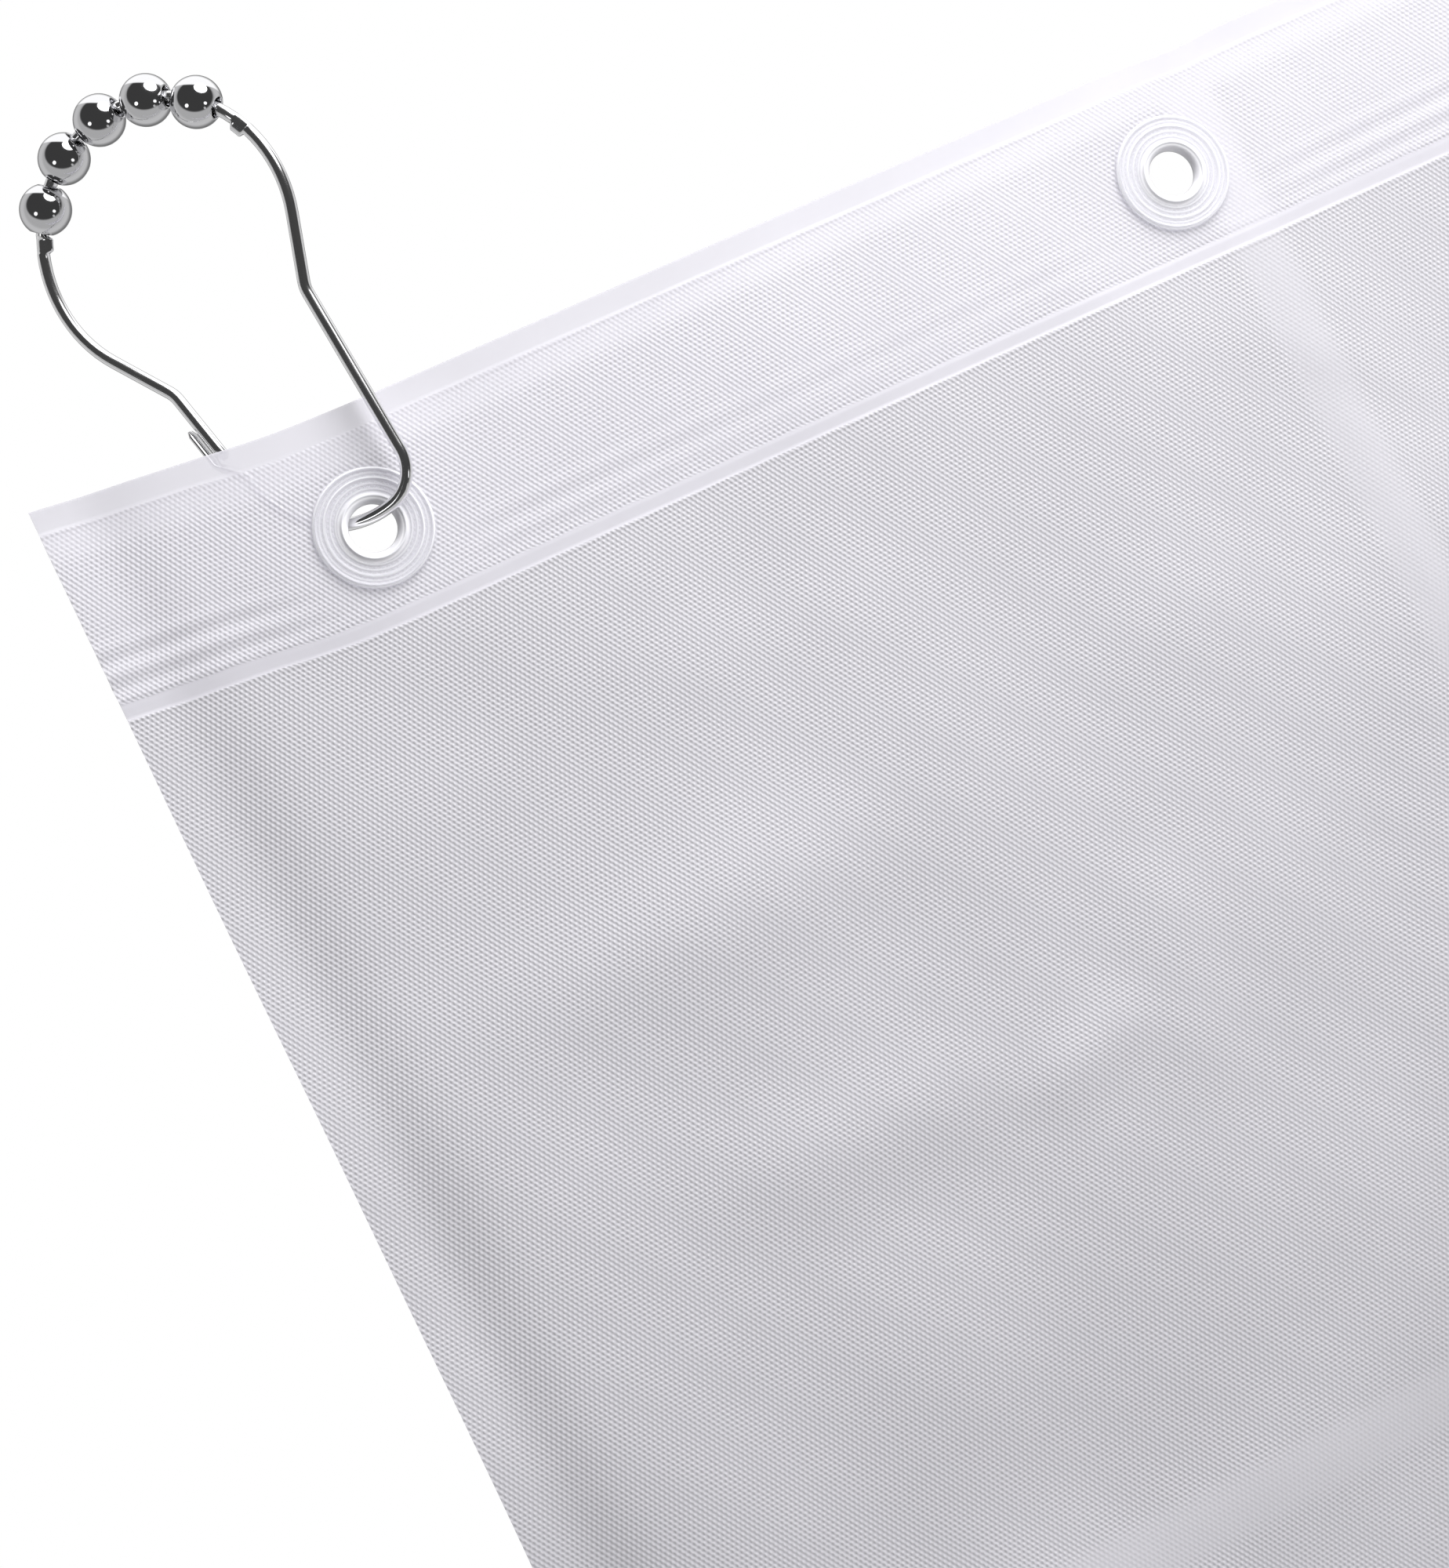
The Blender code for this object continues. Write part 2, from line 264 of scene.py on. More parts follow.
def drape(across, down, header=False):
    # How far each point of the flat sheet moves back, and up
    free = np.ones_like(across)
    for eyelet in eyeletAcross:
        reach = np.hypot(across - eyelet, down - eyeletDown)
        free *= smooth((reach - drapeShape["eyeletFlat"]) / drapeShape["eyeletFree"])
    slack = drapeShape["slackTop"] + (1 - drapeShape["slackTop"]) * smooth((down - 0.02) / 0.14)
    out = drapeShape["swellHeight"] * waves(across, down, swells) * slack
    out += drapeShape["rippleHeight"] * waves(across, down, ripples) * slack
    for place, first in zip((across, down), drapeShape["creaseFirst"]):
        sharp, tilt = creaseLines(place, first, drapeShape["creasePitch"])
        out -= drapeShape["creaseHeight"] * sharp * (0.45 + 0.55 * slack)
        out -= drapeShape["panelTilt"] * tilt * slack
    for start, end, width, height in softFolds:
        out += height * mm * foldLine(across, down, start, end, width) * slack
    out += drapeShape["edgeRoll"] * bump(across - 9 * mm, 6 * mm) * (0.4 + 0.6 * slack)
    # Fine wrinkles run along the header above its lower weld, in patches
    weldTop = headerHeight - sheetCut["weldWidth"]
    patch = smooth(0.35 + 0.5 * waves(across, down * 0.2, patches))
    inRows = smooth((down - weldTop + 13 * mm) / (6 * mm)) * smooth((weldTop + 1 * mm - down) / (3 * mm))
    phase = down * tau / drapeShape["wrinklePitch"] + 3 * waves(across, down * 0, patches)
    out += drapeShape["wrinkleHeight"] * np.sin(phase) * inRows * patch
    out = drapeShape["limit"] * np.tanh(out / drapeShape["limit"]) * free
    # The welds: a fine raised line where each seal ends
    out -= 0.10 * mm * bump(down - sheetCut["sealWidth"], 0.35 * mm) * free
    out -= 0.13 * mm * bump(down - headerHeight, 0.35 * mm)
    out += 0.10 * mm * bump(down - weldTop, 0.5 * mm)
    if header:
        sealed = 1 - smooth((down - sheetCut["sealWidth"]) / (3 * mm))
        sealed = np.maximum(sealed, smooth((down - weldTop + 3 * mm) / (3 * mm)))
        puff = drapeShape["puff"] * (0.5 + 0.5 * waves(across, down, ripples)) * free
        out += drapeShape["layerGap"] + (puff * (1 - sealed) - 0.44 * mm * sealed)
    else:
        out -= drapeShape["layerGap"]
    lift = smooth((drapeShape["cornerReach"] - across) / drapeShape["cornerReach"] / 1.6) / smooth(1 / 1.6)
    lift = drapeShape["cornerLift"] * lift * np.exp(-down / 0.4) * free
    kink = bump(across - drapeShape["creaseFirst"][0], 7 * mm) * np.exp(-down / 0.03)
    lift -= drapeShape["edgeKink"] * kink * free
    return out, lift


def stepsBetween(low, high, step):
    count = max(1, round((high - low) / step))
    return list(np.linspace(low, high, count + 1)[:-1])


def rowPlaces(bottom):
    seal, weld = sheetCut["sealWidth"], headerHeight - sheetCut["weldWidth"]
    fine = [-0.75, -0.5, -0.25, 0, 0.25, 0.5, 0.75]
    rows = stepsBetween(0, seal - 1 * mm, 1.1 * mm) + [seal + f * mm for f in fine]
    rows += stepsBetween(seal + 1.2 * mm, weld - 13 * mm, sheetCut["headerStep"])
    rows += stepsBetween(weld - 13 * mm, weld - 0.9 * mm, sheetCut["wrinkleStep"])
    rows += [weld + f * mm for f in fine] + stepsBetween(weld + 1 * mm, headerHeight - 0.9 * mm, 0.7 * mm)
    rows += [headerHeight + f * mm for f in fine[:4]]
    if bottom > headerHeight + 1 * mm:
        rows += [headerHeight + f * mm for f in fine[4:]]
        rows += stepsBetween(headerHeight + 1.2 * mm, headerHeight + 8 * mm, 1.5 * mm)
        rows += stepsBetween(headerHeight + 8 * mm, sheetCut["closeHeight"], sheetCut["closeStep"])
        rows += stepsBetween(sheetCut["closeHeight"], bottom, sheetCut["farStep"]) + [bottom]
    return rows


def columnPlaces(left, right):
    step = sheetCut["closeStep"] if left < sheetCut["closeWidth"] - 50 * mm else sheetCut["farStep"]
    columns, start = [], left
    for eyelet in eyeletAcross:
        low, high = eyelet - sheetCut["eyeletReach"], eyelet + sheetCut["eyeletReach"]
        if left < eyelet < right:
            columns += stepsBetween(start, low, step) + stepsBetween(low, high, sheetCut["eyeletStep"])
            start = high
    return columns + stepsBetween(start, right, step) + [right]


def stripMesh(name, columns, rows, header):
    bm = bmesh.new()
    bmesh.ops.create_grid(bm, x_segments=len(columns) - 1, y_segments=len(rows) - 1, size=0.5)
    cut = bm.loops.layers.uv.new("cut")
    for vertex in bm.verts:
        column = round((vertex.co.x + 0.5) * (len(columns) - 1))
        row = round((0.5 - vertex.co.y) * (len(rows) - 1))
        vertex.co = (columns[column], -rows[row], 0)
    for eyelet in eyeletAcross:
        middle = Vector((eyelet, -eyeletDown, 0))
        inside = [f for f in bm.faces if (f.calc_center_median() - middle).length < sheetCut["holeRadius"]]
        if not inside:
            continue
        bmesh.ops.delete(bm, geom=inside, context="FACES")
        rim = {v for e in bm.edges if e.is_boundary for v in e.verts}
        for vertex in rim:
            if (vertex.co - middle).length < 2 * sheetCut["holeRadius"]:
                vertex.co = middle + (vertex.co - middle).normalized() * sheetCut["holeRadius"]
    for face in bm.faces:
        for loop in face.loops:
            loop[cut].uv = (loop.vert.co.x, -loop.vert.co.y)
    flat = np.array([vertex.co for vertex in bm.verts])
    across, down = flat[:, 0], -flat[:, 1]
    back, lift = drape(across, down, header)
    for vertex, x, y, z in zip(bm.verts, sheetLeft + across, layerPlane + back, sheetTop - down + lift):
        vertex.co = (x, y, z)
    bmesh.ops.reverse_faces(bm, faces=[f for f in bm.faces if f.normal.y > 0])
    mesh = bpy.data.meshes.new(name)
    bm.to_mesh(mesh)
    bm.free()
    mesh.shade_smooth()
    return mesh


def addPiece(name, mesh, material):
    piece = bpy.data.objects.new(name, mesh)
    scene.collection.objects.link(piece)
    if material is not None:
        mesh.materials.clear()
        mesh.materials.append(material)
    return piece


filmLook = {
    "dotPitch": 0.78 * mm,
    "dotHeight": 0.050 * mm,
    "dotWays": ((33, 1.0), (-24, 0.8), (91, 0.35)),
    # painted highlight and shade on the embossed dots
    "paintedDotHighlightAndShade": 0.23,
    "dark": (0.505, 0.495, 0.535, 1),
    "pale": (0.79, 0.775, 0.83, 1),
    "behind": (0.745, 0.735, 0.785, 1),
    "roughness": 0.38,
    "throughShare": 0.45,
    "clearShare": 0.07,
    "headerClear": 0.31,
    "sealClear": 0.38,
    # painted lift within the header's band, where two layers lie together
    "paintedDoubleLayerLift": 0.40,
    "weldShade": 0.22,
    "paintedLineHighlight": 0.55,         # painted highlight along the fine raised lines at the seal and the weld
    "creaseShade": 0.05,
    "sealShade": 0.04,
    "cloudShade": 0.25,
    "cloudScale": 38.0,
    "speckScale": 950.0,
}
headerLook = {**filmLook, "dark": (0.67, 0.66, 0.70, 1), "pale": (0.92, 0.91, 0.95, 1),
              "behind": (0.85, 0.84, 0.89, 1), "throughShare": 0.27, "paintedDoubleLayerLift": 0.05, "paintedDotHighlightAndShade": 0.17}


def band(place, low, high, soft):
    # 1 between low and high, with soft borders
    return rise(place, low - soft, low + soft) * (1 - rise(place, high - soft, high + soft))


def filmMaterial(name, look):
    material, tree = newMaterial(name)
    cut = addNode(tree, "ShaderNodeUVMap", {"uv_map": "cut"})
    across = addNode(tree, "ShaderNodeSeparateXYZ", None, {0: cut}, "X")
    down = addNode(tree, "ShaderNodeSeparateXYZ", None, {0: cut}, "Y")
    # Three crossing waves make a field of small dots
    dots = None
    for degrees, share in look["dotWays"]:
        turn, rate = radians(degrees), tau / look["dotPitch"]
        wave = cosine(across * (cos(turn) * rate) - down * (sin(turn) * rate)) * share
        dots = wave if dots is None else dots + wave
    weld = headerHeight - sheetCut["weldWidth"]
    inWeld = band(down, weld, headerHeight, 0.2 * mm)
    inSeal = 1 - rise(down, sheetCut["sealWidth"] - 0.3 * mm, sheetCut["sealWidth"] + 0.2 * mm)
    inHeader = 1 - rise(down, headerHeight - 0.3 * mm, headerHeight + 0.3 * mm)
    # Painted highlight: the fine raised lines where the seal ends and along the header's lower edge are
    # painted pale
    paintedHighlightLines = band(down, sheetCut["sealWidth"] - 0.1 * mm, sheetCut["sealWidth"] + 0.3 * mm, 0.12 * mm)
    paintedHighlightLines = paintedHighlightLines + band(down, headerHeight - 0.25 * mm, headerHeight + 0.3 * mm, 0.15 * mm)
    # The packing creases are pressed smooth and pale
    creased = None
    for place, first in ((across, drapeShape["creaseFirst"][0]), (down, drapeShape["creaseFirst"][1])):
        turns = cosine((place - first) * (tau / drapeShape["creasePitch"]))
        line = rise(turns, 0.984, 0.9995)
        creased = line if creased is None else creased + line * (1 - creased)
    embossed = (1 - inSeal) * (1 - inWeld) * (1 - creased * 0.6)
    cloud = addNode(tree, "ShaderNodeTexNoise", {"noise_dimensions": "2D"},
                    {"Vector": cut, "Scale": look["cloudScale"], "Detail": 3.0, "Roughness": 0.5})
    speck = addNode(tree, "ShaderNodeTexNoise", {"noise_dimensions": "2D"},
                    {"Vector": cut, "Scale": look["speckScale"], "Detail": 2.0, "Roughness": 0.6})
    uneven = 0.85 + speck * 0.3
    height = dots * uneven * embossed + cloud * 0.5
    normal = addNode(tree, "ShaderNodeBump", None,
                     {"Strength": 1.0, "Distance": look["dotHeight"], "Height": height})
    # Painted highlight and shade: the dots are painted paler where they stand up and darker in their hollows
    shade = dots * uneven * embossed * look["paintedDotHighlightAndShade"] + (cloud - 0.5) * look["cloudShade"] + 0.5
    # Painted lift: the film is painted lighter where the header lies over it, standing in for the light the
    # double layer gives back
    shade = shade + inHeader * look["paintedDoubleLayerLift"] - inWeld * look["weldShade"] + paintedHighlightLines * look["paintedLineHighlight"]
    shade = shade + creased * look["creaseShade"] - inSeal * look["sealShade"]
    tone = addNode(tree, "ShaderNodeMix", {"data_type": "RGBA", "clamp_factor": True},
                   {0: shade, 6: look["dark"], 7: look["pale"]}, 2)
    roughness = look["roughness"] - 0.12 * (1 - embossed) + cloud * 0.06
    front = addNode(tree, "ShaderNodeBsdfPrincipled", None, {
        "Base Color": tone, "Roughness": roughness, "IOR": 1.48, "Normal": normal})
    behind = addNode(tree, "ShaderNodeBsdfTranslucent", None, {"Color": look["behind"], "Normal": normal})
    clear = addNode(tree, "ShaderNodeBsdfTransparent", None, {"Color": (1, 1, 1, 1)})
    frosted = mixShaders(look["throughShare"], front, behind)
    share = look["clearShare"] + (look["headerClear"] - look["clearShare"]) * inHeader
    share = share + (look["sealClear"] - look["headerClear"]) * inSeal
    finishMaterial(tree, mixShaders(share, frosted, clear))
    return material


filmFinish = filmMaterial("frostedFilm", filmLook)
headerFinish = filmMaterial("frostedHeader", headerLook)
borders = [0.0] + [eyelet - sheetCut["borderShift"] for eyelet in eyeletAcross[1:-1]] + [sheetWidth]
for layerName, height, finish, slotName in (
    ("film", sheetHeight, filmFinish, "film"), ("header", headerHeight, headerFinish, "header_film"),
):
    rows = rowPlaces(height)
    for i, (left, right) in enumerate(zip(borders, borders[1:])):
        name = f"{layerName}Strip{i + 1:02d}"
        mesh = stripMesh(name, columnPlaces(left, right), rows, layerName == "header")
        strip = addPiece(name, mesh, finish)
        hinge = eyeletAcross[i] + eyeletPitch / 2 + sheetLeft
        reach = sheetCut["foldHalf"]
        f"panel_{panelNames[i + 1]}"
        hinge - reach
        hinge + reach
        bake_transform(strip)
        covered = panelNames[i:] if i == panelCount - 2 else panelNames[i:i + 1]
        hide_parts(*[f"{layerName}_panel_{number}" for number in covered])
        right - left
print(f"film and header: {len(borders) - 1} strips each, {len(mesh.polygons)} faces in the last")


eyeletShape = {
    "bore": 4.15 * mm,
    "barrel": 5.7 * mm,
    "flange": 10.5 * mm,
    "inside": 0.75 * mm,
    "land": 1.12 * mm,
    # Each ridge: radius, height and half width, in mm
    "ridges": ((5.4, 0.40, 0.30), (6.5, 0.10, 0.20), (7.4, 0.10, 0.20),
               (8.4, 0.26, 0.26), (9.2, 0.08, 0.16), (9.95, 0.32, 0.28)),
    "segments": 72,
}


def flangeFace(radius):
    # How far the ridged face stands off the middle plane
    face = eyeletShape["land"]
    for middle, height, half in eyeletShape["ridges"]:
        face += height * mm * np.exp(-(((radius / mm - middle) / half) ** 2))
    edge = max(0.0, radius - eyeletShape["flange"] + 0.35 * mm) / (0.35 * mm)
    return face - 0.3 * mm * edge ** 2


def turnRing(name, profile, place, mirrored):
    bm = bmesh.new()
    side = 1 if mirrored else -1
    points = [bm.verts.new((radius, side * along, 0)) for radius, along in profile]
    for a, b in zip(points, points[1:] + points[:1]):
        bm.edges.new((a, b))
    bmesh.ops.spin(bm, geom=bm.verts[:] + bm.edges[:], cent=(0, 0, 0), axis=(0, 1, 0), angle=tau,
                   steps=eyeletShape["segments"], use_merge=True)
    bmesh.ops.recalc_face_normals(bm, faces=bm.faces)
    turned = bm.loops.layers.uv.new("turned")   # the radius, in metres, twice
    for face in bm.faces:
        for loop in face.loops:
            radius = (loop.vert.co.x ** 2 + loop.vert.co.z ** 2) ** 0.5
            loop[turned].uv = (radius, radius)
    bmesh.ops.translate(bm, vec=place, verts=bm.verts)
    mesh = bpy.data.meshes.new(name)
    bm.to_mesh(mesh)
    bm.free()
    mesh.shade_smooth()
    mesh.set_sharp_from_angle(angle=radians(40))
    return mesh


def eyeletProfiles():
    bore, barrel, flange, inside = (eyeletShape[key] for key in ("bore", "barrel", "flange", "inside"))
    lip = bore + 1.0 * mm
    radii = [lip + (flange - lip) * i / 56 for i in range(57)]
    face = [(radius, flangeFace(radius)) for radius in radii]
    # From the bore out over the rounded mouth, across the ridged face, under the flange and down the barrel
    mouth = [(bore + 1.0 * mm * (1 - cos(t)), -0.3 * mm + (flangeFace(lip) + 0.3 * mm) * sin(t))
             for t in [pi / 2 * i / 7 for i in range(7)]]
    front = mouth + face + [
        (flange, inside), (barrel, inside), (barrel, -1.05 * mm), (barrel - 0.5 * mm, -1.2 * mm),
        (bore + 0.45 * mm, -1.15 * mm), (bore + 0.1 * mm, -0.8 * mm)]
    hole = barrel + 0.3 * mm
    radii = [hole + (flange - hole) * i / 48 for i in range(49)]
    back = [(hole, inside)] + [(radius, flangeFace(radius)) for radius in radii] + [(flange, inside)]
    return front, back


eyeletLook = {
    "colour": (0.975, 0.975, 0.985, 1),
    "milk": (0.74, 0.735, 0.77, 1),
    "pale": (0.93, 0.93, 0.95, 1),
    "clearShare": 0.72,       # the flange shows the film under it
    "barrelClear": 0.10,
    "barrelShade": 0.45,
    "roughness": 0.07,
    "ior": 1.46,
    # Painted highlight and shade at the flange's ridges. Each ring: radius in mm, and how much paler or
    # darker it is
    "rings": ((5.0, 0.7), (5.7, -0.3), (6.5, 0.3), (7.4, 0.25), (8.15, -0.2),
              (8.5, 0.6), (9.2, 0.2), (9.75, -0.2), (10.2, 0.7)),
    "ringHalf": 0.12,
    "ringFilm": 0.3,          # how much of the film a ring hides
    "barrelEdge": (5.7 * mm, 6.3 * mm),
    "flowScale": 420.0, "flowHeight": 0.02 * mm, "flowShade": 0.3, "flowBase": 0.35,
}


def eyeletMaterial():
    material, tree = newMaterial("clearEyelet")
    place = addNode(tree, "ShaderNodeTexCoord", output="Object")
    turned = addNode(tree, "ShaderNodeUVMap", {"uv_map": "turned"})
    radius = addNode(tree, "ShaderNodeSeparateXYZ", None, {0: turned}, "X")
    flow = addNode(tree, "ShaderNodeTexNoise", None, {
        "Vector": place, "Scale": eyeletLook["flowScale"], "Detail": 2.0})
    normal = addNode(tree, "ShaderNodeBump", None, {
        "Strength": 0.5, "Distance": eyeletLook["flowHeight"], "Height": flow})
    rings = flow * eyeletLook["flowShade"] + eyeletLook["flowBase"]
    half = eyeletLook["ringHalf"]
    thick = 0.0
    # Painted rings: pale and dark lines at the ridges stand in for their highlights and shade
    for middle, strength in eyeletLook["rings"]:
        line = band(radius, (middle - half) * mm, (middle + half) * mm, half * mm)
        rings = rings + line * strength
        thick = line * abs(strength) + thick
    inBarrel = 1 - rise(radius, *eyeletLook["barrelEdge"])
    rings = rings - inBarrel * eyeletLook["barrelShade"]
    tone = addNode(tree, "ShaderNodeMix", {"data_type": "RGBA", "clamp_factor": True},
                   {0: rings, 6: eyeletLook["milk"], 7: eyeletLook["pale"]}, 2)
    plastic = addNode(tree, "ShaderNodeBsdfPrincipled", None, {
        "Base Color": tone, "Roughness": flow * 0.05 + eyeletLook["roughness"],
        "IOR": eyeletLook["ior"], "Normal": normal})
    clear = addNode(tree, "ShaderNodeBsdfTransparent", None, {"Color": eyeletLook["colour"]})
    share = eyeletLook["clearShare"] - (eyeletLook["clearShare"] - eyeletLook["barrelClear"]) * inBarrel
    share = share - thick * eyeletLook["ringFilm"] * (1 - inBarrel)
    finishMaterial(tree, mixShaders(share, plastic, clear))
    return material


eyeletFinish = eyeletMaterial()
frontProfile, backProfile = eyeletProfiles()
for number, place in zip(panelNames, eyeletPlaces):
    centre = Vector((place.x, layerPlane, place.z))
    for side, profile, mirrored in (("Front", frontProfile, False), ("Back", backProfile, True)):
        name = f"eyelet{side}{number}"
        piece = addPiece(name, turnRing(name, profile, centre, mirrored), eyeletFinish)
        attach(piece, f"panel_{number}")
        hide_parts(f"eyelet_{side.lower()}_{number}")
print(f"eyelets: {panelCount} pairs")


hookShape = {
    "yaw": 33.0, "lean": 9.7,
    "wire": 2.2 * mm,
    "sides": 24,
    "archRadius": 23.5 * mm,
    "archHeight": 60 * mm,
    "archEnd": 27.0,
    "kneeWidth": 30.4 * mm,
    "kneeHeight": 38.1 * mm,
    "kneeBend": 5.0 * mm,
    "footWidth": 25.5 * mm,
    "footInner": 7.0 * mm,
    "ball": 9.0 * mm,
    "ballBore": 3.5 * mm,
    "ballGap": 0.5 * mm,
    "ballSegments": 56,
    "rowAngle": 85.0,
    "rowPlay": 3.5 * mm,
    "crimp": 2.2 * mm,
    "crimpReach": 0.9 * mm,
    "crimpSpan": 1.45,         # the pinch and its run-out, in half lengths of the crimp
    "crimpPress": 0.3,
    "gateTip": 25.0 * mm,
    "catchTop": 31.5 * mm,
    "catchStep": 6.0 * mm,
    "catchThick": 1.2 * mm,
    "catchWide": 3.0 * mm,
    "clearance": 0.3 * mm,
    "flexLength": 14 * mm,
}
arch, wireRadius, crimpSpan = hookShape["archRadius"], hookShape["wire"] / 2, hookShape["crimpSpan"]
footOuter = hookShape["footWidth"] - hookShape["footInner"]
ballStep = (hookShape["ball"] + hookShape["ballGap"]) / arch
rowMiddle = radians(hookShape["rowAngle"])
ballAngles = [rowMiddle + (2 - i) * ballStep for i in range(5)]
crimpReach = (hookShape["ball"] + hookShape["crimp"]) / 2 / arch
leftCrimp = ballAngles[0] + crimpReach + hookShape["ballGap"] / arch
rightCrimp = ballAngles[-1] - crimpReach - hookShape["rowPlay"] / arch
gatePivot = leftCrimp + 2.2 * hookShape["crimp"] / arch


def onArch(angle, radius=arch):
    return Vector((radius * cos(angle), 0, hookShape["archHeight"] + radius * sin(angle)))


seat = onArch(rowMiddle, arch - hookShape["ball"] / 2)
hookTurn = Euler((0, -radians(hookShape["lean"]), -radians(hookShape["yaw"]))).to_matrix().to_4x4()
hookPlace = hookTurn @ Matrix.Translation(-seat)


def halfWidth(height):
    share = (hookShape["kneeHeight"] - height) / (hookShape["kneeHeight"] - hookShape["footInner"])
    return (hookShape["kneeWidth"] + (hookShape["footWidth"] - hookShape["kneeWidth"]) * share) / 2


def arcPoints(centre, radius, start, end, step=radians(4)):
    count = max(2, round(abs(end - start) / step))
    turns = [start + (end - start) * i / count for i in range(count + 1)]
    return [Vector((centre[0] + radius * cos(a), 0, centre[1] + radius * sin(a))) for a in turns]


def bent(before, corner, after, radius):
    # The corner of a wire, rounded
    a, b = (before - corner).normalized(), (after - corner).normalized()
    half = a.angle(b) / 2
    back = radius / np.tan(half)
    points = []
    for i in range(7):
        t = i / 6
        near, far = (corner + a * back) * (1 - t) ** 2, (corner + b * back) * t ** 2
        points.append(near + corner * 2 * t * (1 - t) + far)
    return points


def evened(points, step):
    # The same path with a point every step or so, so that the tube's rings stay even
    out = [points[0]]
    for point in points[1:]:
        gap = (point - out[-1]).length
        if gap > 1.6 * step:
            count = round(gap / step)
            start = out[-1]
            out += [start.lerp(point, k / count) for k in range(1, count)]
        if gap > 0.25 * step:
            out.append(point)
    return out


def sweepTube(bm, stations, sides):
    # A ring extruded from station to station: (point, half width in plane, half width out of plane, shift)
    points = [station[0] for station in stations]
    ring = bmesh.ops.create_circle(bm, cap_ends=True, radius=1, segments=sides)["verts"]
    shape = [vertex.co.copy() for vertex in ring]
    for i, (point, wide, deep, shift) in enumerate(stations):
        tangent = (points[min(i + 1, len(points) - 1)] - points[max(i - 1, 0)]).normalized()
        side = Vector((tangent.z, 0, -tangent.x))
        if i:
            edges = [e for e in {e for v in ring for e in v.link_edges} if all(v in ring for v in e.verts)]
            made = bmesh.ops.extrude_edge_only(bm, edges=edges)["geom"]
            fresh = [g for g in made if isinstance(g, bmesh.types.BMVert)]
            places = [v.co.copy() for v in ring]
            ring = [min(fresh, key=lambda v, o=old: (v.co - o).length_squared) for old in places]
        for vertex, (x, y, _) in zip(ring, shape):
            vertex.co = point + side * (shift + wide * x) + Vector((0, deep * y, 0))
    bmesh.ops.contextual_create(bm, geom=ring)


def roundStations(points):
    return [(point, wireRadius, wireRadius, 0) for point in points]


def crimpStations(angle):
    # The wire pinched flat, with its metal pushed to a nib on the inner side
    half = hookShape["crimp"] / 2 / arch
    stations = []
    for turn in np.linspace(crimpSpan, -crimpSpan, 15):
        press = smooth(np.array((crimpSpan - abs(turn)) / 0.55)).item()
        reach = hookShape["crimpReach"] * press
        thin = wireRadius * (1 - hookShape["crimpPress"] * press)
        stations.append((onArch(angle + turn * half), wireRadius + reach / 2, thin, reach / 2))
    return stations


def wireMesh(name, stations):
    bm = bmesh.new()
    sweepTube(bm, stations, hookShape["sides"])
    bmesh.ops.recalc_face_normals(bm, faces=bm.faces)
    bmesh.ops.transform(bm, matrix=hookPlace, verts=bm.verts)
    mesh = bpy.data.meshes.new(name)
    bm.to_mesh(mesh)
    bm.free()
    mesh.shade_smooth()
    mesh.set_sharp_from_angle(angle=radians(50))
    return mesh


archCentre = (0, hookShape["archHeight"])
archEnd = radians(hookShape["archEnd"])
half = crimpSpan * hookShape["crimp"] / 2 / arch
rightKnee = Vector((halfWidth(hookShape["kneeHeight"]), 0, hookShape["kneeHeight"]))
footCentre = hookShape["footWidth"] / 2 - hookShape["footInner"]
footTop = Vector((hookShape["footWidth"] / 2, 0, hookShape["footInner"]))
footRise = asin((footOuter - hookShape["gateTip"] + hookShape["catchStep"]) / footOuter)

wire = roundStations(arcPoints(archCentre, arch, gatePivot, leftCrimp + half)[:-1])
wire += crimpStations(leftCrimp)
wire += roundStations(arcPoints(archCentre, arch, leftCrimp - half, rightCrimp + half)[1:-1])
wire += crimpStations(rightCrimp)
wire += roundStations(arcPoints(archCentre, arch, rightCrimp - half, -archEnd)[1:])
legPoints = bent(onArch(-archEnd), rightKnee, footTop, hookShape["kneeBend"])
foot = arcPoints((footCentre, hookShape["footInner"]), hookShape["footInner"], 0, -pi / 2, radians(7))
foot += arcPoints((footCentre, footOuter), footOuter, -pi / 2, footRise - pi, radians(3.5))[1:]
wire += roundStations(evened(legPoints + foot, 1.5 * mm))
# The end is flattened to a tab that lies along the outside of the gate's tip
beside = wireRadius + hookShape["clearance"] + hookShape["catchThick"] / 2
tabLow, tabTop = hookShape["gateTip"] - wireRadius, hookShape["catchTop"]
tab = [Vector((-halfWidth(z) - beside, 0, z)) for z in np.linspace(tabLow, tabTop, 9)]
lastRound = wire[-1][0]
for t in (0.25, 0.5, 0.75):
    wire.append((lastRound.lerp(tab[0], t), wireRadius + (hookShape["catchThick"] / 2 - wireRadius) * t,
                 wireRadius + (hookShape["catchWide"] / 2 - wireRadius) * t, 0))
for i, point in enumerate(tab):
    taper = 0.55 if i == len(tab) - 1 else 1.0
    wire.append((point, hookShape["catchThick"] / 2 * taper, hookShape["catchWide"] / 2 * taper, 0))

chromeLook = {
    "ball": (0.78, 0.78, 0.795, 1),
    "wire": (0.97, 0.97, 0.98, 1),
    "ballRoughness": 0.035,
    "wireRoughness": 0.10,
    "ballGrain": 0.004 * mm,
    "wireGrain": 0.006 * mm,
}


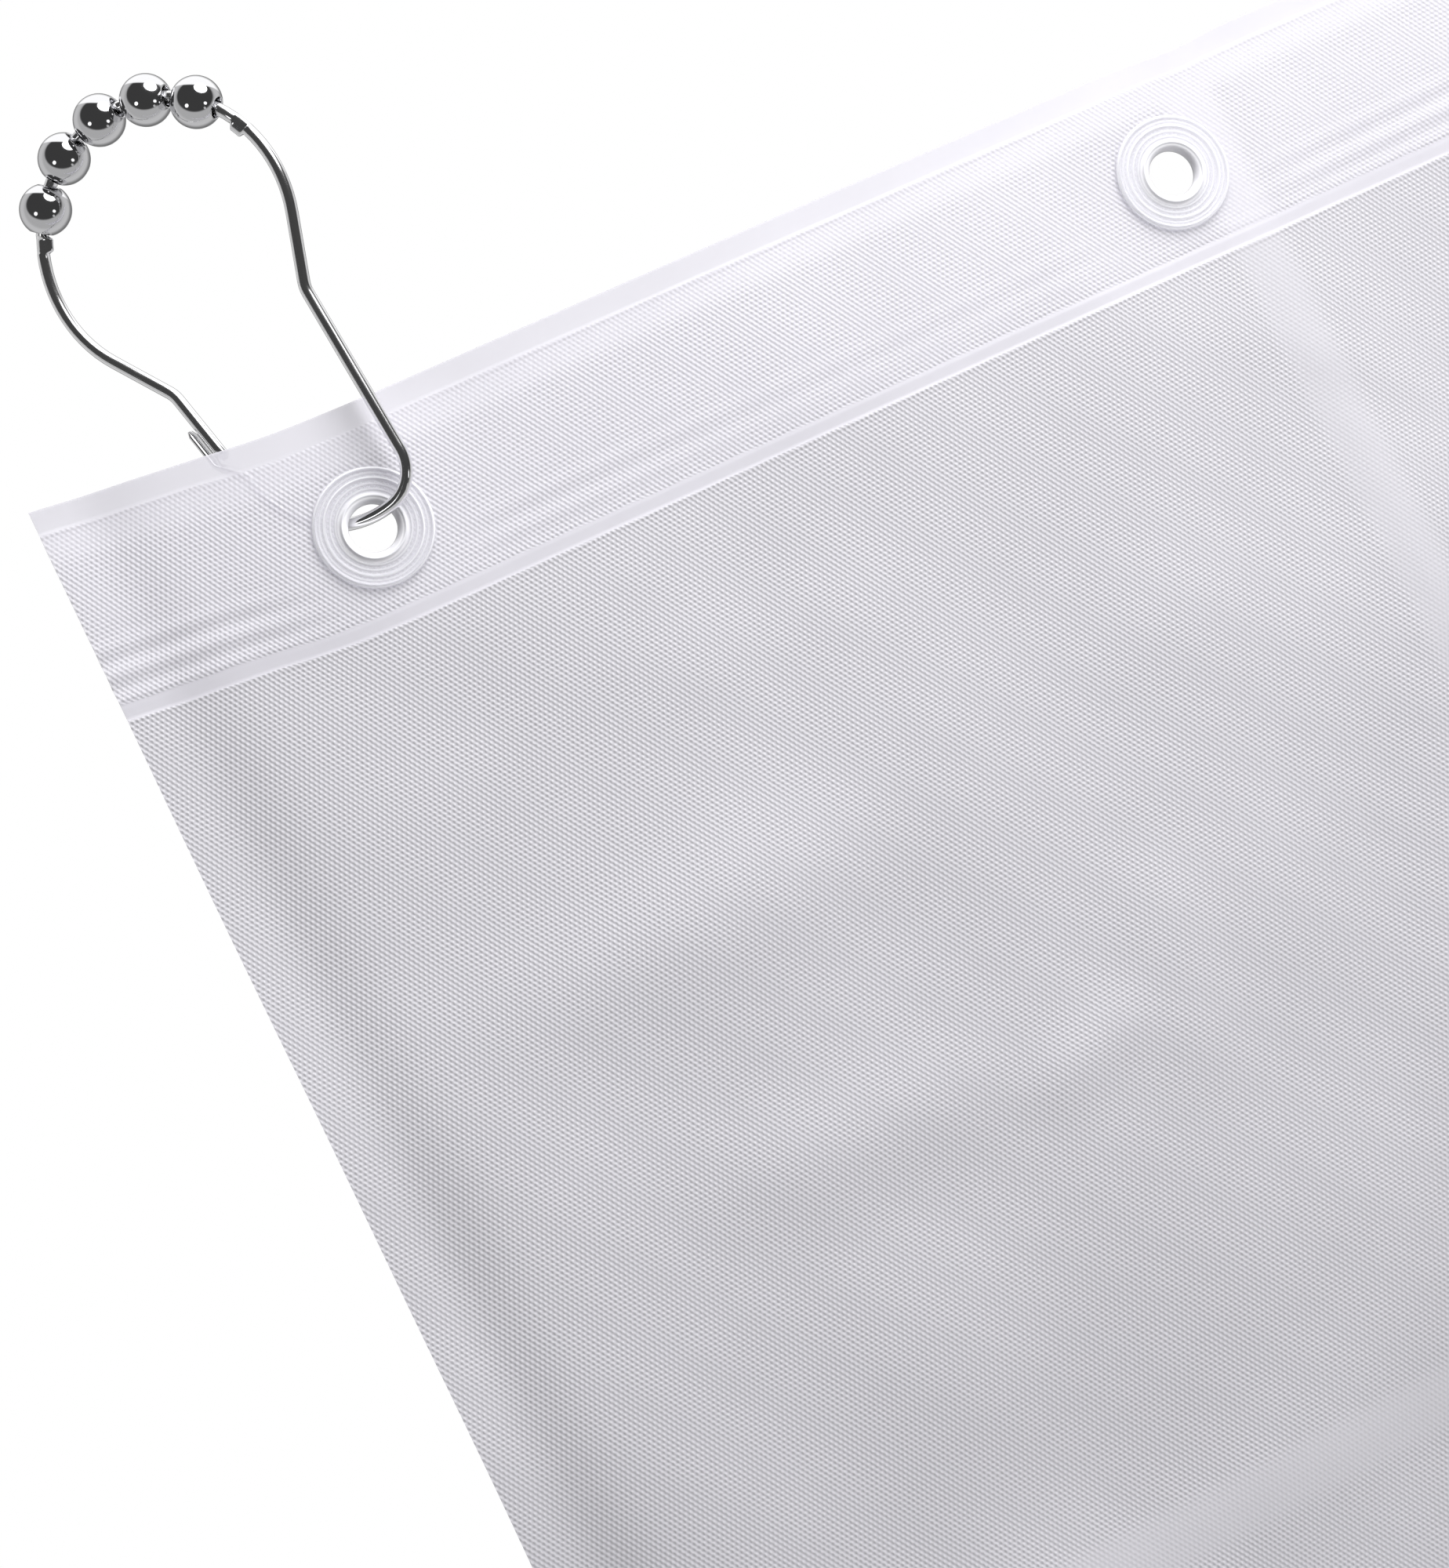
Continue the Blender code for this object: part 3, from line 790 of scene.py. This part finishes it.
def chromeMaterial(name, grain, colour, smoothness):
    material, tree = newMaterial(name)
    place = addNode(tree, "ShaderNodeTexCoord", output="Object")
    haze = addNode(tree, "ShaderNodeTexNoise", None, {"Vector": place, "Scale": 900.0, "Detail": 4.0})
    rub = addNode(tree, "ShaderNodeTexNoise", None, {"Vector": place, "Scale": 130.0, "Detail": 2.0})
    worn = rise(rub, 0.50, 0.78)
    normal = addNode(tree, "ShaderNodeBump", None, {"Strength": 0.35, "Distance": grain, "Height": haze})
    metal = addNode(tree, "ShaderNodeBsdfPrincipled", None, {
        "Base Color": colour, "Metallic": 1.0,
        "Roughness": worn * 0.05 + haze * 0.03 + smoothness, "Normal": normal})
    finishMaterial(tree, metal)
    return material


wireFinish, ballFinish = (
    chromeMaterial(name, chromeLook[f"{part}Grain"], chromeLook[part], chromeLook[f"{part}Roughness"])
    for name, part in (("chromeWire", "wire"), ("chromeBall", "ball")))

hookWire = addPiece("hookWire", wireMesh("hookWire", wire), wireFinish)
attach(hookWire, "hook")
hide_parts("hook_wire")

leftKnee = Vector((-rightKnee.x, 0, rightKnee.z))
gateEnd = Vector((-halfWidth(hookShape["gateTip"]), 0, hookShape["gateTip"]))
gatePath = arcPoints(archCentre, arch, gatePivot, pi + archEnd) + evened(
    bent(onArch(pi + archEnd), leftKnee, gateEnd, hookShape["kneeBend"]) + [gateEnd], 1.5 * mm)
gate = roundStations(evened(gatePath, 1.5 * mm))
for reach, share in ((0.5, 0.86), (0.85, 0.5)):
    down = (gateEnd - leftKnee).normalized() * wireRadius * reach
    gate.append((gateEnd + down, wireRadius * share, wireRadius * share, 0))
hookGate = addPiece("hookGateLeg", wireMesh("hookGateLeg", gate), wireFinish)
flexEnd = onArch(gatePivot + hookShape["flexLength"] / arch)
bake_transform(hookGate)
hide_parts("hook_gate")


def ballMesh(name, angle):
    # A bored ball: its outer round, a small rolled collar at each mouth, and the bore
    radius, bore = hookShape["ball"] / 2, hookShape["ballBore"] / 2
    collar = bore + 0.30 * mm
    tilt = atan2((radius ** 2 - collar ** 2) ** 0.5, collar)
    outer = [(radius * cos(a), radius * sin(a)) for a in np.linspace(tilt, -tilt, 41)]
    top = outer[0][1]
    mouth = [(bore, top - 0.35 * mm), (bore + 0.09 * mm, top - 0.08 * mm), (bore + 0.2 * mm, top - 0.01 * mm)]
    profile = mouth + outer + [(r, -z) for r, z in reversed(mouth)]
    bm = bmesh.new()
    points = [bm.verts.new((r, 0, z)) for r, z in profile]
    for a, b in zip(points, points[1:] + points[:1]):
        bm.edges.new((a, b))
    bmesh.ops.spin(bm, geom=bm.verts[:] + bm.edges[:], cent=(0, 0, 0), axis=(0, 0, 1), angle=tau,
                   steps=hookShape["ballSegments"], use_merge=True)
    bmesh.ops.recalc_face_normals(bm, faces=bm.faces)
    seated = arch - radius ** 2 / (4 * arch)
    turn = Matrix.Translation(onArch(angle, seated)) @ Matrix.Rotation(-angle, 4, "Y")
    bmesh.ops.transform(bm, matrix=hookPlace @ turn, verts=bm.verts)
    mesh = bpy.data.meshes.new(name)
    bm.to_mesh(mesh)
    bm.free()
    mesh.shade_smooth()
    mesh.set_sharp_from_angle(angle=radians(35))
    return mesh


for i, angle in enumerate(ballAngles):
    ball = addPiece(f"rollerBall{i + 1}", ballMesh(f"rollerBall{i + 1}", angle), ballFinish)
    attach(ball, f"ball_{i + 1}")
    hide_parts(f"roller_ball_{i + 1}")
    drift = (middleOf(f"roller_ball_{i + 1}") - hookPlace @ onArch(angle, arch)).length
    assert drift < 1 * mm, f"ball {i + 1} is {drift / mm:.2f} mm from its place"
print("hook: wire, gate leg and five balls")


cameraSetup = {
    "yaw": -13.59, "pitch": 2.0, "roll": 25.71,
    "distance": 0.6869,
    "target": (0.0355, 0, -0.0640),   # from the first eyelet's centre
    "lens": 93.14,
}
cameraTurn = (Matrix.Rotation(radians(cameraSetup["yaw"]), 3, "Z")
              @ Matrix.Rotation(radians(cameraSetup["pitch"]), 3, "X")
              @ Matrix.Rotation(radians(cameraSetup["roll"]), 3, "Y"))
rightWay, forwardWay, upWay = cameraTurn.col
firstEyelet = Vector((eyeletPlaces[0].x, layerPlane, eyeletPlaces[0].z))
camera = bpy.data.objects.new("camera", bpy.data.cameras.new("camera"))
camera.data.lens = cameraSetup["lens"]
camera.data.sensor_width = 36
camera.data.clip_start, camera.data.clip_end = 0.02, 60
place = firstEyelet + Vector(cameraSetup["target"]) - forwardWay * cameraSetup["distance"]
camera.matrix_world = Matrix.Translation(place) @ Matrix((rightWay, upWay, -forwardWay)).transposed().to_4x4()
scene.collection.objects.link(camera)
scene.camera = camera


studio = {
    "floorDrop": 0.06,
    "floorSize": 12.0,
    "floorGlow": 0.32,
    "wall": 0.62,          # what the chrome mirrors from behind and beside it
    "outline": 0.20,
    "frontDark": 0.05,
    "cap": 1.25,
    "lowGrey": 0.48,
    "windows": (((-0.30, -0.20), 0.075, 1.6), ((0.40, -0.10), 0.065, 1.3), ((0.38, -0.28), 0.05, 0.45)),
    # Lights stand right of, above and in front of the middle of the view
    "key": {"from": (0.13, 0.60, 0.30), "size": 0.55, "power": 9.3, "mirrored": True},
    # Broad lights ahead of the rest of the sheet, placed across and down from its top left corner
    "wide": {"places": ((1.25, 0.55), (0.55, 1.35), (1.35, 1.45)), "ahead": 1.0, "size": 1.2, "power": 6.0},
    "glintLimit": 1.6,
}
viewMiddle = firstEyelet + Vector(cameraSetup["target"])


def addFloor():
    bm = bmesh.new()
    bmesh.ops.create_grid(bm, x_segments=1, y_segments=1, size=studio["floorSize"] / 2)
    middle = Vector((sheetLeft + sheetWidth / 2, 0, sheetBottom - studio["floorDrop"]))
    bmesh.ops.translate(bm, vec=middle, verts=bm.verts)
    mesh = bpy.data.meshes.new("floor")
    bm.to_mesh(mesh)
    bm.free()
    material, tree = newMaterial("paleFloor")
    finishMaterial(tree, addNode(tree, "ShaderNodeBsdfPrincipled", None, {
        "Base Color": (0.90, 0.90, 0.90, 1), "Roughness": 0.6,
        "Emission Color": (1, 1, 1, 1), "Emission Strength": studio["floorGlow"]}))
    floor = addPiece("floor", mesh, material)
    # The floor shows and takes shadows, but neither lights the sheet nor shows in the chrome
    floor.visible_glossy = floor.visible_diffuse = floor.visible_transmission = False


def addSoftLight(name, size, power, place, offset, mirrored):
    light = bpy.data.lights.new(name, "AREA")
    light.shape = "DISK"
    light.size, light.energy = size, power
    item = bpy.data.objects.new(name, light)
    item.location = place + offset
    item.rotation_euler = (-offset).to_track_quat("-Z", "Y").to_euler()
    item.visible_camera, item.visible_glossy = False, mirrored
    scene.collection.objects.link(item)


def paintWorld():
    world = bpy.data.worlds.new("studio")
    scene.world = world
    world.use_nodes = True
    tree = world.node_tree
    tree.nodes.clear()
    way = addNode(tree, "ShaderNodeTexCoord", output="Generated")

    def along(direction):
        return addNode(tree, "ShaderNodeVectorMath", {"operation": "DOT_PRODUCT"},
                       {0: way, 1: direction}, "Value")

    towards, up, side = along(-forwardWay), along(upWay), along(rightWay)
    # high and wide are the places on a mirror ball, from -1 to 1, that show this direction
    spread = ((towards + 1.0005) * 2.0) ** 0.5
    high, wide = up / spread, side / spread
    reach = (high * high + wide * wide) ** 0.5
    # The dark room ahead is a bowl: level at the top, round below
    bowl = (wide * wide + (high - 0.14) * (high - 0.14) * 1.3) ** 0.5
    glow = studio["lowGrey"] - (studio["lowGrey"] - studio["frontDark"]) * (1 - rise(bowl, 0.62, 0.70))
    around = rise(reach, 0.70, 0.82)
    glow = glow * (1 - around) + studio["wall"] * around
    cap = rise(high, 0.55, 0.60)
    glow = glow * (1 - cap) + studio["cap"] * cap
    for (x, y), size, strength in studio["windows"]:
        off = ((wide - x) ** 2.0 + (high - y) ** 2.0) ** 0.5
        glow = glow + strength * (1 - rise(off, size * 0.8, size))
    edge = rise(reach, 0.88, 0.985)
    glow = glow * (1 - edge) + studio["outline"] * edge
    seen = addNode(tree, "ShaderNodeLightPath", output="Is Camera Ray")
    glow = glow * (1 - seen) + seen
    background = addNode(tree, "ShaderNodeBackground", None, {"Color": (1, 1, 1, 1), "Strength": glow})
    output = tree.nodes.new("ShaderNodeOutputWorld")
    tree.links.new(background.socket, output.inputs["Surface"])


addFloor()
key, wide = studio["key"], studio["wide"]
right, above, ahead = key["from"]
addSoftLight("keyLight", key["size"], key["power"], viewMiddle,
             rightWay * right + upWay * above - forwardWay * ahead, key["mirrored"])
for i, (across, down) in enumerate(wide["places"]):
    place = Vector((sheetLeft + across, layerPlane, sheetTop - down))
    addSoftLight(f"wideLight{i + 1}", wide["size"], wide["power"], place,
                 Vector((0, -wide["ahead"], 0)), False)
paintWorld()
scene.view_settings.view_transform = "Standard"
scene.cycles.transparent_max_bounces = 32
scene.cycles.diffuse_bounces = 6
scene.cycles.sample_clamp_direct = scene.cycles.sample_clamp_indirect = studio["glintLimit"]
print("studio ready")
